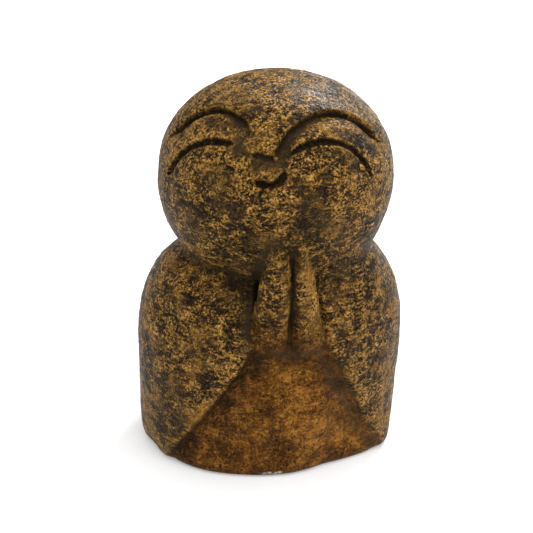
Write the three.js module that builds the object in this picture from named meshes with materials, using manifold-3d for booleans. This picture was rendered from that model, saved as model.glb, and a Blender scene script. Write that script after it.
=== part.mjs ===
// A small cast-stone jizo figure: a large round head turned aside and looking up, on a
// rounded body in a cloak whose edges part below the joined hands.
// Millimetres, +Z up. The figure faces -Y and stands on its underside, the origin at the
// middle of that underside. Left and right are as seen by someone who faces the figure.
import * as THREE from 'three';
import { mergeVertices } from 'three/addons/utils/BufferGeometryUtils.js';
import Module from 'manifold-3d';

// Sizes of the figure
const HEIGHT = 200;
const BODY_WIDTH = 137.2;
const BODY_FRONT = 53.5;
const BODY_BACK = 56;
const HEAD_WIDTH = 116.4;
const HEAD_DEPTH = 110;

// Where the head sits on the body
const HEAD_ASIDE = 1.8;
const HEAD_FORWARD = 6.7;
const HEAD_TURN = -15;
const HEAD_LIFT = 25;

// Heights, as shares of the whole height
const HEAD_RISE = 0.2505 * HEIGHT;
const HEAD_DROP = 0.295 * HEIGHT;
const WAIST = 0.275 * HEIGHT;
const SHOULDER_RISE = 0.325 * HEIGHT;
const BODY_DROP = 0.675 * HEIGHT;
const HAND_HEEL = 0.405 * HEIGHT;
const FINGER_TIP = 0.635 * HEIGHT;
const CLOAK_KNEE = 0.37 * HEIGHT;

// How square the crown's and the body's rounds are: 2 is round, more is squarer
const CROWN_PROFILE = 2.1;
const BODY_ROUNDNESS = 2.15;
const BODY_PROFILE = 2.9;

// The body leans forward as it rises, and is a little to the left low down
const BODY_LEAN = 5;
const LEAN_FULL = 0.55;
const LEAN_END = 0.65;
const BODY_SIDE_SHIFT = 1;
const SIDE_SHIFT_SWING = 1.3;
const BODY_ARC_SHARE = 0.4;
const BODY_MEAN_SHARE = 0.44;
const SIDE_SHIFT_LOW = 0.2 * HEIGHT;
const SIDE_SHIFT_HIGH = 0.55 * HEIGHT;

// Soft joins
const NECK_BLEND = 3.5;
const CHEST_BLEND = 5;
const CHEST_BLEND_PLACE = [36, 0.6];
const CHEST_BLEND_SPREAD = [24, 0.15];
const TIP_BLEND_LESS = 0.7;
const TIP_BLEND_PLACE = [0, 0.64];
const TIP_BLEND_SPREAD = [15, 0.07];
const FINGER_BLEND = 1;
const HAND_BLEND = 1.6;
const HEEL_BLEND = 8;
const FOOT_ROUND = 6;
const FOOT_SUNK = 0.5;

// Carving of the face: lines from left to right, in degrees around the head and up from
// the middle of the face
const LEFT_BROW = [[-62, 13.8], [-58, 19.2], [-51, 25], [-44, 28.8], [-37, 30.7], [-30, 30.9],
  [-23.5, 29.2], [-18, 26.2], [-13.4, 22.4], [-10, 18], [-8.3, 13.2], [-6.6, 8.4]];
const RIGHT_BROW = [[2.2, 3.2], [4.8, 7.6], [7.8, 13.5], [11, 18.2], [14.6, 21.5], [18.4, 24.8],
  [23.9, 28.6], [30, 31], [36.5, 32.2], [43, 31.9], [49, 30.3], [54.5, 27.6], [59.5, 23.8],
  [64, 19.5], [67, 13.5]];
const LEFT_EYE = [[-57, -6], [-52, -1.5], [-48, 2.4], [-44, 5.3], [-38.7, 7.9], [-33, 9.5],
  [-28, 9.9], [-22.5, 9.4], [-17.6, 8.6]];
const RIGHT_EYE = [[11, 3.9], [14.6, 6.8], [18.3, 9], [23.4, 11], [28.6, 12], [34.1, 12.1],
  [39, 11.2], [44.2, 9], [48, 6.2], [52.2, 2], [55.5, -2.6], [57.4, -6.4]];
const MOUTH = [[-5.9, -8.8], [-3.1, -10], [-0.4, -10.6], [2, -10.7], [4.3, -10.2], [6.4, -9],
  [7.7, -7.1], [8.2, -5.1], [7.8, -3.6]];
const NOSE_BASE = [[-8.3, 2.1], [-6.2, 3.8], [-4.3, 4.5], [-2.6, 4.2], [-0.9, 3.3], [1, 2.9],
  [3, 3.5]];

// Depths and widths of that carving
const BROW_DEPTH = 1.9;
const BROW_REACH = 12;
const BROW_SLIT_DEPTH = 1.6;
const BROW_SLIT_WIDTH = 4.2;
const NOSE_SIDE_WIDTH = 7.5;
const SLIT_FLOOR_SHARE = 0.35;
const CARVED_EDGE = 1.3;
const NOSE_UNDERCUT = 1.6;
const NOSE_REACH = 7.5;
const NOSE_HEIGHT = 2.3;
const NOSE_PLACE = [-1.5, 7.5];
const NOSE_SPREAD = [5, 7];
const CHEEK_FULLNESS = 1;
const CHEEK_PLACES = [[-34, -5], [36, -5]];
const CHEEK_SPREAD = [17, 10];
const EYE_WIDTH = 3.7;
const LEFT_EYE_END_WIDTH = 5.2;
const EYE_DEPTH = 2.2;
const MOUTH_WIDTH = 4;
const MOUTH_DEPTH = 2.3;
const GROOVE_FLOOR = 0.7;

// Shares of each line over which its carving deepens at its start and fades at its end
const LEFT_BROW_FADES = [0.18, 0.3];
const RIGHT_BROW_FADES = [0.04, 0.2];
const NOSE_FADES = [0.2, 0.1];
const LEFT_EYE_FADES = [0.1, 0.04];
const RIGHT_EYE_FADES = [0.1, 0.2];
const MOUTH_FADES = [0.14, 0.16];
const GROOVE_END = 0.02;

// Cloak: its two edges run down beside the hands and swing out below them, in degrees
// around the body, and the swing in degrees for the whole height
const CLOAK_LEFT_EDGE = 17.8;
const CLOAK_RIGHT_EDGE = 20.2;
const CLOAK_RIGHT_LEAN = 7.5;
const RIGHT_LEAN_LOW = 0.42 * HEIGHT;
const RIGHT_LEAN_HIGH = 0.6 * HEIGHT;
const CLOAK_LEFT_SWING = 135;
const CLOAK_RIGHT_SWING = 104;
const CLOAK_SLANT = 0.9;
const CLOAK_KNEE_ROUND = 0.04 * HEIGHT;
const CLOAK_THICKNESS = 5.2;
const CLOAK_HEM_THICKNESS = 2;
const CLOAK_EDGE_SOFTNESS = 4;
const LEFT_SKIRT_SOFTNESS = 4.6;
const RIGHT_SKIRT_SOFTNESS = 6.2;
const SKIRT_HIGH = 0.4 * HEIGHT;
const SKIRT_LOW = 0.28 * HEIGHT;
const CLOAK_LIP_SHARE = 0.4;
const HEM_RISE = 0.1 * HEIGHT;
const HAND_RECESS = 1;
const RECESS_LOW = 0.27 * HEIGHT;
const RECESS_HIGH = 0.36 * HEIGHT;

// The robe stands fuller over the lap, well inside the cloak's edges
const LAP_FULLNESS = 5;
const LAP_PLACE = [10, 0.15];
const LAP_SPREAD = [26, 0.12];
const LAP_START = 3;
const LAP_FULL = 20;

// Where the body stands fuller than a plain round, or less full where below 0, in degrees
// around it and shares of its height
const SWELLS = [
  { name: 'chest, right', fullness: 5.2, place: [42, 0.58], spread: [35, 0.065] },
  { name: 'side, right', fullness: 1.2, place: [88, 0.28], spread: [25, 0.1] },
  { name: 'foot, left', fullness: 1.6, place: [-92, 0.03], spread: [14, 0.1] },
  { name: 'foot, right', fullness: 2.4, place: [57, 0.02], spread: [12, 0.08] },
  { name: 'corner, right', fullness: -1.2, place: [80, 0], spread: [10, 0.08] },
  { name: 'corner, left', fullness: -2.1, place: [-78, 0], spread: [12, 0.055] },
  { name: 'hem, right', fullness: -3, place: [25, 0], spread: [16, 0.1] },
];

// Hands: two long drops side by side, the palms that join them behind their groove, and
// the cuff's edge beside the right one
const LEFT_HAND_WIDTH = 17.8;
const LEFT_HEEL_ASIDE = -9.2;
const LEFT_TIP_ASIDE = -5.5;
const RIGHT_HAND_WIDTH = 12.6;
const RIGHT_HEEL_ASIDE = 7.4;
const RIGHT_TIP_ASIDE = 4.2;
const PALM_WIDTH = 12;
const PALM_ASIDE = 1;
const PALM_SETBACK = 4.5;
const CUFF_WIDTH = 6.2;
const CUFF_HEEL_ASIDE = 14.2;
const CUFF_TIP_ASIDE = 9.8;
const CUFF_HEIGHT = 0.15 * HEIGHT;
const CUFF_SETBACK = 1.5;
const HAND_THICKNESS = 17;
const PALM_THICKNESS = 12.6;
const CUFF_THICKNESS = 13.2;
const TIP_WIDTH_SHARE = 0.46;
const CUFF_TIP_SHARE = 0.62;
const TIP_THICKNESS_SHARE = 0.62;
const TAPER_POWER = 2.8;
const HEEL_ROUND = 7.5;
const HEEL_BLEND_RISE = 14;
const TIP_ROUND = 6;
const HEEL_SINK = 3.9;
const TIP_SINK = 5.2;

// Fineness of the faceted surface, and the middle that its points are seen from
const MIDDLE_FORWARD = 2;
const START_ROUNDS = 8;
const LARGEST_DEPARTURE = 0.4;
const SHORTEST_EDGE = 2.4;
const REFINE_ROUNDS = 7;
const LINE_STEPS = 8;
const SURFACE_TOLERANCE = 0.004;
const MARCH_STEPS = 90;
const MARCH_SHARE = 0.7;
const SAME_POINT = 1e-4;
const FLOOR_BLOCK = 0.1 * HEIGHT;

const STONE_COLOUR = '#5e4426';
const STONE_ROUGHNESS = 0.55;

const headMiddle = new THREE.Vector3(HEAD_ASIDE, -HEAD_FORWARD, HEIGHT - HEAD_RISE);
const headRadius = HEAD_WIDTH / 2;
const bodyArc = BODY_ARC_SHARE * BODY_WIDTH;
const bodyMean = BODY_MEAN_SHARE * BODY_WIDTH;
const formMiddle = new THREE.Vector3(0, -MIDDLE_FORWARD, HEIGHT / 2);
const farOutside = BODY_WIDTH + HEIGHT / 2;

// Eases from 0 at low to 1 at high, also where low is the larger of the two.
function ease(low, high, x) {
  const t = THREE.MathUtils.clamp((x - low) / (high - low), 0, 1);
  return t * t * (3 - 2 * t);
}

function hump(x, y, [middleX, middleY], [spreadX, spreadY]) {
  return Math.exp(-(((x - middleX) / spreadX) ** 2) - ((y - middleY) / spreadY) ** 2);
}

function smoothMin(a, b, blend) {
  const overlap = Math.max(blend - Math.abs(a - b), 0) / blend;
  return Math.min(a, b) - (overlap * overlap * blend) / 4;
}

function smoothMax(a, b, blend) {
  return -smoothMin(-a, -b, blend);
}

// A smooth line through the points, with how far along it each of its steps is.
function carvedLine(points) {
  const curve = new THREE.SplineCurve(points.map(([u, v]) => new THREE.Vector2(u, v)));
  const steps = curve.getPoints(LINE_STEPS * (points.length - 1));
  const along = [0];
  for (let i = 1; i < steps.length; i += 1) {
    along.push(along[i - 1] + steps[i].distanceTo(steps[i - 1]));
  }
  const box = new THREE.Box2().setFromPoints(steps).expandByScalar(BROW_REACH);
  return { steps, along, box };
}

// The gap from a place on the face to a line, positive below the line, and how far along
// the line the nearest point is, from 0 to 1.
function besideLine({ steps, along }, u, v) {
  let nearest = Infinity;
  let side = 1;
  let share = 0;
  for (let i = 1; i < steps.length; i += 1) {
    const start = steps[i - 1];
    const du = steps[i].x - start.x;
    const dv = steps[i].y - start.y;
    const pu = u - start.x;
    const pv = v - start.y;
    const t = THREE.MathUtils.clamp((pu * du + pv * dv) / (du * du + dv * dv), 0, 1);
    const gap = Math.hypot(pu - t * du, pv - t * dv);
    if (gap < nearest) {
      nearest = gap;
      side = du * pv - dv * pu > 0 ? -1 : 1;
      share = (along[i - 1] + t * (along[i] - along[i - 1])) / along.at(-1);
    }
  }
  return { gap: nearest, below: nearest * side, share };
}

// A ledge: the face drops just below the line and comes back further down.
function ledgeDepth(carved, u, v, { depth, reach, slit, slitWidths, fades }) {
  if (!carved.box.containsPoint(new THREE.Vector2(u, v))) return 0;
  const { below, share } = besideLine(carved, u, v);
  const fade = ease(0, fades[0], share) * (1 - ease(1 - fades[1], 1, share));
  const slitWidth = THREE.MathUtils.lerp(slitWidths[0], slitWidths[1], share);
  const edge = ease(-CARVED_EDGE / 2, CARVED_EDGE / 2, below);
  const shelf = edge * (1 - ease(CARVED_EDGE, reach, below));
  const cut = edge * (1 - ease(SLIT_FLOOR_SHARE * slitWidth, slitWidth, below));
  return (depth * shelf + slit * cut) * fade;
}

// A groove with a round floor that narrows towards both ends.
function grooveDepth(carved, u, v, { widths, depth, fades }) {
  if (!carved.box.containsPoint(new THREE.Vector2(u, v))) return 0;
  const { gap, share } = besideLine(carved, u, v);
  const fadeIn = ease(-GROOVE_END, fades[0], share);
  const narrowing = Math.sqrt(fadeIn * (1 - ease(1 - fades[1], 1 + GROOVE_END, share)));
  const width = THREE.MathUtils.lerp(widths[0], widths[1], share);
  const halfWidth = Math.max((width / 2) * narrowing, SAME_POINT);
  const floor = Math.max(1 - (gap / halfWidth) ** 2, 0) ** GROOVE_FLOOR;
  return depth * narrowing * floor;
}

const leftBrow = carvedLine(LEFT_BROW);
const rightBrow = carvedLine(RIGHT_BROW);
const noseBase = carvedLine(NOSE_BASE);
const leftEye = carvedLine(LEFT_EYE);
const rightEye = carvedLine(RIGHT_EYE);
const mouth = carvedLine(MOUTH);

const brow = { depth: BROW_DEPTH, reach: BROW_REACH, slit: BROW_SLIT_DEPTH };
const ledges = [
  [leftBrow, { ...brow, slitWidths: [BROW_SLIT_WIDTH, NOSE_SIDE_WIDTH], fades: LEFT_BROW_FADES }],
  [rightBrow, { ...brow, slitWidths: [NOSE_SIDE_WIDTH, BROW_SLIT_WIDTH], fades: RIGHT_BROW_FADES }],
  [noseBase, {
    depth: NOSE_UNDERCUT,
    reach: NOSE_REACH,
    slit: 0,
    slitWidths: [BROW_SLIT_WIDTH, BROW_SLIT_WIDTH],
    fades: NOSE_FADES,
  }],
];
const grooves = [
  [leftEye, { widths: [LEFT_EYE_END_WIDTH, EYE_WIDTH], depth: EYE_DEPTH, fades: LEFT_EYE_FADES }],
  [rightEye, { widths: [EYE_WIDTH, EYE_WIDTH], depth: EYE_DEPTH, fades: RIGHT_EYE_FADES }],
  [mouth, { widths: [MOUTH_WIDTH, MOUTH_WIDTH], depth: MOUTH_DEPTH, fades: MOUTH_FADES }],
];

// How deep the face is carved at a place, in degrees around and up from its middle.
function faceDepth(u, v) {
  let depth = -NOSE_HEIGHT * hump(u, v, NOSE_PLACE, NOSE_SPREAD);
  for (const [line, sizes] of ledges) depth += ledgeDepth(line, u, v, sizes);
  for (const [line, sizes] of grooves) depth += grooveDepth(line, u, v, sizes);
  for (const place of CHEEK_PLACES) depth -= CHEEK_FULLNESS * hump(u, v, place, CHEEK_SPREAD);
  return depth;
}

const turn = THREE.MathUtils.degToRad(HEAD_TURN);
const lift = THREE.MathUtils.degToRad(HEAD_LIFT);
const faceOut = new THREE.Vector3(
  Math.sin(turn) * Math.cos(lift),
  -Math.cos(turn) * Math.cos(lift),
  Math.sin(lift),
);
const faceRight = new THREE.Vector3(Math.cos(turn), Math.sin(turn), 0);
const faceUp = new THREE.Vector3().crossVectors(faceOut, faceRight);

// Distances: below 0 inside the form, 0 on its surface, above 0 outside.
function headDistance(point) {
  const place = point.clone().sub(headMiddle);
  const rise = place.z > 0 ? HEAD_RISE : HEAD_DROP;
  const profile = place.z > 0 ? CROWN_PROFILE : 2;
  const ring = Math.hypot(place.x / headRadius, place.y / (HEAD_DEPTH / 2));
  const round = (ring ** profile + Math.abs(place.z / rise) ** profile) ** (1 / profile);
  const across = place.dot(faceRight);
  const upward = place.dot(faceUp);
  const angle = THREE.MathUtils.radToDeg(Math.atan2(Math.hypot(across, upward), place.dot(faceOut)));
  const perLength = angle / Math.max(Math.hypot(across, upward), SAME_POINT);
  return (round - 1) * headRadius + faceDepth(across * perLength, upward * perLength);
}

// How far inside the cloak's two edges a place on the front is, in millimetres.
function insideEdges(around, z) {
  const below = CLOAK_KNEE - z;
  const swing = (below + Math.hypot(below, CLOAK_KNEE_ROUND)) / 2 / HEIGHT;
  const lean = CLOAK_RIGHT_LEAN * ease(RIGHT_LEAN_LOW, RIGHT_LEAN_HIGH, z);
  const left = around + CLOAK_LEFT_EDGE + CLOAK_LEFT_SWING * swing;
  const right = CLOAK_RIGHT_EDGE - lean + CLOAK_RIGHT_SWING * swing - around;
  return [left, right].map((angle) => THREE.MathUtils.degToRad(angle) * bodyArc * CLOAK_SLANT);
}

// The cloak's edge is crisp beside the hands and softer down the skirt.
function edgeStep(inside, skirtSoftness, z) {
  const skirt = ease(SKIRT_HIGH, SKIRT_LOW, z);
  const softness = THREE.MathUtils.lerp(CLOAK_EDGE_SOFTNESS, skirtSoftness, skirt);
  return ease(-CLOAK_LIP_SHARE * softness, (1 - CLOAK_LIP_SHARE) * softness, inside);
}

function openingDepth(around, z) {
  const [left, right] = insideEdges(around, z);
  const step = edgeStep(left, LEFT_SKIRT_SOFTNESS, z) * edgeStep(right, RIGHT_SKIRT_SOFTNESS, z);
  const recess = HAND_RECESS * ease(RECESS_LOW, RECESS_HIGH, z);
  const inLap = ease(LAP_START, LAP_FULL, Math.min(left, right));
  const lap = LAP_FULLNESS * hump(around, z / HEIGHT, LAP_PLACE, LAP_SPREAD) * inLap;
  const hem = (CLOAK_THICKNESS - CLOAK_HEM_THICKNESS) * ease(HEM_RISE, 0, z);
  return step * (CLOAK_THICKNESS + recess - hem - lap);
}

function swelling(around, z) {
  let total = 0;
  for (const { fullness, place, spread } of SWELLS) {
    total += fullness * hump(around, z / HEIGHT, place, spread);
  }
  return total;
}

function bodyDistance(point, around) {
  const swing = SIDE_SHIFT_SWING * ease(SIDE_SHIFT_LOW, SIDE_SHIFT_HIGH, point.z);
  const x = point.x + BODY_SIDE_SHIFT * (1 - swing);
  const leanShare = THREE.MathUtils.clamp(point.z / HEIGHT, 0, LEAN_END) / LEAN_FULL;
  const y = point.y + BODY_LEAN * leanShare ** 2;
  const depth = y < 0 ? BODY_FRONT : BODY_BACK;
  const rise = point.z > WAIST ? SHOULDER_RISE : BODY_DROP;
  const ring = (Math.abs(x / (BODY_WIDTH / 2)) ** BODY_ROUNDNESS
    + Math.abs(y / depth) ** BODY_ROUNDNESS) ** (1 / BODY_ROUNDNESS);
  const round = (ring ** BODY_PROFILE
    + Math.abs((point.z - WAIST) / rise) ** BODY_PROFILE) ** (1 / BODY_PROFILE);
  const opening = point.y < 0 ? openingDepth(around, point.z) : 0;
  return (round - 1) * bodyMean + opening - swelling(around, point.z);
}

const heelY = HEEL_SINK - BODY_FRONT;
const tipY = TIP_SINK - HEAD_FORWARD - HEAD_DEPTH / 2;

// A long drop from its heel up to its tip, as wide and thick as given at the heel.
function drop({ heelAside, tipAside, top, setback, width, thickness, tipShare }) {
  const heel = new THREE.Vector3(heelAside, heelY + setback, HAND_HEEL);
  const tip = new THREE.Vector3(tipAside, tipY + setback, top);
  return { heel, axis: tip.sub(heel), width, thickness, tipShare };
}

const leftHand = drop({
  heelAside: LEFT_HEEL_ASIDE,
  tipAside: LEFT_TIP_ASIDE,
  top: FINGER_TIP,
  setback: 0,
  width: LEFT_HAND_WIDTH,
  thickness: HAND_THICKNESS,
  tipShare: TIP_WIDTH_SHARE,
});
const rightHand = drop({
  heelAside: RIGHT_HEEL_ASIDE,
  tipAside: RIGHT_TIP_ASIDE,
  top: FINGER_TIP,
  setback: 0,
  width: RIGHT_HAND_WIDTH,
  thickness: HAND_THICKNESS,
  tipShare: TIP_WIDTH_SHARE,
});
const palms = drop({
  heelAside: (LEFT_HEEL_ASIDE + RIGHT_HEEL_ASIDE) / 2 + PALM_ASIDE,
  tipAside: (LEFT_TIP_ASIDE + RIGHT_TIP_ASIDE) / 2,
  top: FINGER_TIP,
  setback: PALM_SETBACK,
  width: PALM_WIDTH,
  thickness: PALM_THICKNESS,
  tipShare: TIP_WIDTH_SHARE,
});
const cuffEdge = drop({
  heelAside: CUFF_HEEL_ASIDE,
  tipAside: CUFF_TIP_ASIDE,
  top: HAND_HEEL + CUFF_HEIGHT,
  setback: CUFF_SETBACK,
  width: CUFF_WIDTH,
  thickness: CUFF_THICKNESS,
  tipShare: CUFF_TIP_SHARE,
});

function dropDistance({ heel, axis, width, thickness, tipShare }, point) {
  const place = point.clone().sub(heel);
  const t = THREE.MathUtils.clamp(place.dot(axis) / axis.lengthSq(), 0, 1);
  place.addScaledVector(axis, -t);
  const taper = t ** TAPER_POWER;
  const halfWidth = (width / 2) * THREE.MathUtils.lerp(1, tipShare, taper);
  const halfThickness = (thickness / 2) * THREE.MathUtils.lerp(1, TIP_THICKNESS_SHARE, taper);
  const endRound = THREE.MathUtils.lerp(HEEL_ROUND, TIP_ROUND, t);
  const round = Math.hypot(place.x / halfWidth, place.y / halfThickness, place.z / endRound);
  return (round - 1) * halfWidth;
}

function handsDistance(point) {
  let distance = dropDistance(leftHand, point);
  for (const other of [rightHand, palms, cuffEdge]) {
    distance = smoothMin(distance, dropDistance(other, point), FINGER_BLEND);
  }
  return distance;
}

function formDistance(point) {
  const around = THREE.MathUtils.radToDeg(Math.atan2(point.x, -point.y));
  const share = point.z / HEIGHT;
  const heelShare = ease(HAND_HEEL + HEEL_BLEND_RISE, HAND_HEEL, point.z);
  const handBlend = HAND_BLEND + HEEL_BLEND * heelShare;
  const chest = CHEST_BLEND * hump(around, share, CHEST_BLEND_PLACE, CHEST_BLEND_SPREAD);
  const atTips = TIP_BLEND_LESS * hump(around, share, TIP_BLEND_PLACE, TIP_BLEND_SPREAD);
  const neckBlend = (NECK_BLEND + chest) * (1 - atTips);
  let distance = smoothMin(bodyDistance(point, around), handsDistance(point), handBlend);
  distance = smoothMin(distance, headDistance(point), neckBlend);
  return smoothMax(distance, -point.z - FOOT_SUNK, FOOT_ROUND);
}

// The outermost point of the form on the ray from its middle through a point.
function onSurface(towards) {
  const direction = towards.clone().sub(formMiddle).normalize();
  const point = new THREE.Vector3();
  let reach = farOutside;
  for (let i = 0; i < MARCH_STEPS; i += 1) {
    point.copy(formMiddle).addScaledVector(direction, reach);
    const distance = formDistance(point);
    if (Math.abs(distance) < SURFACE_TOLERANCE) break;
    reach -= MARCH_SHARE * distance;
  }
  return point;
}

function startingSphere() {
  const sphere = new THREE.IcosahedronGeometry(1, Math.round(START_ROUNDS));
  sphere.deleteAttribute('normal');
  sphere.deleteAttribute('uv');
  const merged = mergeVertices(sphere, SAME_POINT);
  const places = merged.getAttribute('position');
  const points = [];
  for (let i = 0; i < places.count; i += 1) {
    points.push(onSurface(new THREE.Vector3().fromBufferAttribute(places, i).add(formMiddle)));
  }
  const triangles = [];
  for (let i = 0; i < merged.index.count; i += 3) {
    triangles.push([merged.index.getX(i), merged.index.getX(i + 1), merged.index.getX(i + 2)]);
  }
  return { points, triangles };
}

// Splits the edges that stand off the form, until the facets follow it.
function followForm({ points, triangles }) {
  const middles = new Map();
  const keyOf = (a, b) => (a < b ? `${a},${b}` : `${b},${a}`);

  function middleOf(a, b) {
    const key = keyOf(a, b);
    if (!middles.has(key)) {
      const chord = points[a].clone().add(points[b]).multiplyScalar(0.5);
      const surface = onSurface(chord);
      const length = points[a].distanceTo(points[b]);
      const departs = Math.abs(formDistance(chord)) > LARGEST_DEPARTURE;
      middles.set(key, { surface, split: departs && length > SHORTEST_EDGE, index: -1, length });
    }
    return middles.get(key);
  }

  // A triangle that is split at all is split across its longest edge too.
  function closeOverLongestEdges(current) {
    let changed = true;
    while (changed) {
      changed = false;
      for (const [a, b, c] of current) {
        const edges = [middleOf(a, b), middleOf(b, c), middleOf(c, a)];
        const longest = edges.reduce((most, edge) => (edge.length > most.length ? edge : most));
        if (!longest.split && edges.some((edge) => edge.split)) {
          longest.split = true;
          changed = true;
        }
      }
    }
  }

  function newPoint(edge) {
    if (edge.index < 0) edge.index = points.push(edge.surface) - 1;
    return edge.index;
  }

  function splitTriangle([a, b, c], out) {
    const edges = [middleOf(a, b), middleOf(b, c), middleOf(c, a)];
    if (!edges.some((edge) => edge.split)) {
      out.push([a, b, c]);
      return;
    }
    let longest = 0;
    if (edges[1].length > edges[longest].length) longest = 1;
    if (edges[2].length > edges[longest].length) longest = 2;
    const [p, q, r] = [[a, b, c], [b, c, a], [c, a, b]][longest];
    const middle = newPoint(edges[longest]);
    const next = middleOf(q, r);
    const last = middleOf(r, p);
    if (next.split) out.push([middle, q, newPoint(next)], [middle, newPoint(next), r]);
    else out.push([middle, q, r]);
    if (last.split) out.push([middle, r, newPoint(last)], [middle, newPoint(last), p]);
    else out.push([middle, r, p]);
  }

  let current = triangles;
  for (let round = 0; round < REFINE_ROUNDS; round += 1) {
    closeOverLongestEdges(current);
    const finer = [];
    for (const triangle of current) splitTriangle(triangle, finer);
    if (finer.length === current.length) break;
    current = finer;
  }
  return { points, triangles: current };
}

const wasm = await Module();
wasm.setup();

function solidFrom(geometry) {
  geometry.deleteAttribute('normal');
  geometry.deleteAttribute('uv');
  const merged = mergeVertices(geometry, SAME_POINT);
  const vertProperties = new Float32Array(merged.getAttribute('position').array);
  const triVerts = new Uint32Array(merged.index.array);
  return new wasm.Manifold(new wasm.Mesh({ numProp: 3, vertProperties, triVerts }));
}

function geometryFrom(solid) {
  const { vertProperties, triVerts } = solid.getMesh();
  const geometry = new THREE.BufferGeometry();
  geometry.setAttribute('position', new THREE.BufferAttribute(vertProperties, 3));
  geometry.setIndex(new THREE.BufferAttribute(triVerts, 1));
  return geometry;
}

function wrappedForm() {
  const { points, triangles } = followForm(startingSphere());
  const geometry = new THREE.BufferGeometry().setFromPoints(points);
  geometry.setIndex(triangles.flat());
  return solidFrom(geometry);
}

// The underside is cut off flat at z = 0.
function belowFloor() {
  const block = new THREE.BoxGeometry(2 * BODY_WIDTH, 2 * BODY_WIDTH, FLOOR_BLOCK);
  block.translate(0, 0, -FLOOR_BLOCK / 2);
  return solidFrom(block);
}

function statueGeometry() {
  const geometry = geometryFrom(wrappedForm().subtract(belowFloor()));
  geometry.computeBoundingBox();
  const middle = geometry.boundingBox.getCenter(new THREE.Vector3());
  geometry.translate(-middle.x, -middle.y, 0);
  geometry.computeVertexNormals();
  return geometry;
}

const stone = new THREE.MeshStandardMaterial({
  color: STONE_COLOUR,
  roughness: STONE_ROUGHNESS,
  metalness: 0,
});
const statue = new THREE.Mesh(statueGeometry(), stone);
statue.name = 'jizo_statue';

const group = new THREE.Group();
group.add(statue);

export default group;
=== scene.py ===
import math
import bmesh
import bpy
import numpy as np
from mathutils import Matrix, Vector


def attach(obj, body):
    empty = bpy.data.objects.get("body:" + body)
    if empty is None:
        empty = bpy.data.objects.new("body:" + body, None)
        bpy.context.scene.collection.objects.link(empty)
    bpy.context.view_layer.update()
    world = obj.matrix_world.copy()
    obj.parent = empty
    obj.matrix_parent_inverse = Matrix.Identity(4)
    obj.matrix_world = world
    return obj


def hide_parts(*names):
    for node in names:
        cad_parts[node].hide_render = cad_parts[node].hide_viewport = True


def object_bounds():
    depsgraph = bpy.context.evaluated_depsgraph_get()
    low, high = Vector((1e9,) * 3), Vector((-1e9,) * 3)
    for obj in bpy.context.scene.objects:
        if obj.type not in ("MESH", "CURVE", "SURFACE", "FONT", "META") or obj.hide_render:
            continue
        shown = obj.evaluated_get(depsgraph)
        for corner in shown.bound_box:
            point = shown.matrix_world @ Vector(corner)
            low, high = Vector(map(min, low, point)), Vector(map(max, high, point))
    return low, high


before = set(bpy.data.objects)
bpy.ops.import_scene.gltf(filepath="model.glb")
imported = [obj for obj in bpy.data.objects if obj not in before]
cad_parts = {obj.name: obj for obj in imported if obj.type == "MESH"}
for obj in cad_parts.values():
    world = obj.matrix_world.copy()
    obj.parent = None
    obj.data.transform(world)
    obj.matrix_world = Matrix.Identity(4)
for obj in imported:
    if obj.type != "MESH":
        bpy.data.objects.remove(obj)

cad_low, cad_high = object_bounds()

HEIGHT = 200.0
METRES = (cad_high.z - cad_low.z) / HEIGHT

# Sizes of the figure
BODY_WIDTH = 137.2
BODY_FRONT = 53.5
BODY_BACK = 56.0
HEAD_WIDTH = 116.4
HEAD_DEPTH = 110.0
HEAD_ASIDE = 1.8
HEAD_FORWARD = 6.7
HEAD_TURN = math.radians(-15)
HEAD_LIFT = math.radians(25)
HEAD_RISE = 0.2505 * HEIGHT
HEAD_DROP = 0.295 * HEIGHT
WAIST = 0.275 * HEIGHT
SHOULDER_RISE = 0.325 * HEIGHT
BODY_DROP = 0.675 * HEIGHT
HAND_HEEL = 0.405 * HEIGHT
FINGER_TIP = 0.635 * HEIGHT
CLOAK_KNEE = 0.37 * HEIGHT
CROWN_PROFILE = 2.1
BODY_ROUNDNESS = 2.15
BODY_PROFILE = 2.9
BODY_LEAN = 5.0
LEAN_FULL = 0.55
LEAN_END = 0.65
BODY_SIDE_SHIFT = 1.0
SIDE_SHIFT_SWING = 1.3
SIDE_SHIFT_LOW = 0.2 * HEIGHT
SIDE_SHIFT_HIGH = 0.55 * HEIGHT

# Soft joins
NECK_BLEND = 3.5
CHEST_BLEND = 5.0
CHEST_BLEND_PLACE = (36, 0.6)
CHEST_BLEND_SPREAD = (24, 0.15)
TIP_BLEND_LESS = 0.7
TIP_BLEND_PLACE = (0, 0.64)
TIP_BLEND_SPREAD = (15, 0.07)
FINGER_BLEND = 1.0
HAND_BLEND = 1.6
HEEL_BLEND = 8.0
FOOT_ROUND = 6.0
FOOT_SUNK = 0.5

# Carving of the face: lines from left to right, in degrees around the head and up from the
# middle of the face
LEFT_BROW = [(-62, 13.8), (-58, 19.2), (-51, 25), (-44, 28.8), (-37, 30.7), (-30, 30.9),
             (-23.5, 29.2), (-18, 26.2), (-13.4, 22.4), (-10, 18), (-8.3, 13.2), (-6.6, 8.4)]
RIGHT_BROW = [(2.2, 3.2), (4.8, 7.6), (7.8, 13.5), (11, 18.2), (14.6, 21.5), (18.4, 24.8),
              (23.9, 28.6), (30, 31), (36.5, 32.2), (43, 31.9), (49, 30.3), (54.5, 27.6),
              (59.5, 23.8), (64, 19.5), (67, 13.5)]
LEFT_EYE = [(-57, -6), (-52, -1.5), (-48, 2.4), (-44, 5.3), (-38.7, 7.9), (-33, 9.5), (-28, 9.9),
            (-22.5, 9.4), (-17.6, 8.6)]
RIGHT_EYE = [(11, 3.9), (14.6, 6.8), (18.3, 9), (23.4, 11), (28.6, 12), (34.1, 12.1), (39, 11.2),
             (44.2, 9), (48, 6.2), (52.2, 2), (55.5, -2.6), (57.4, -6.4)]
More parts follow.
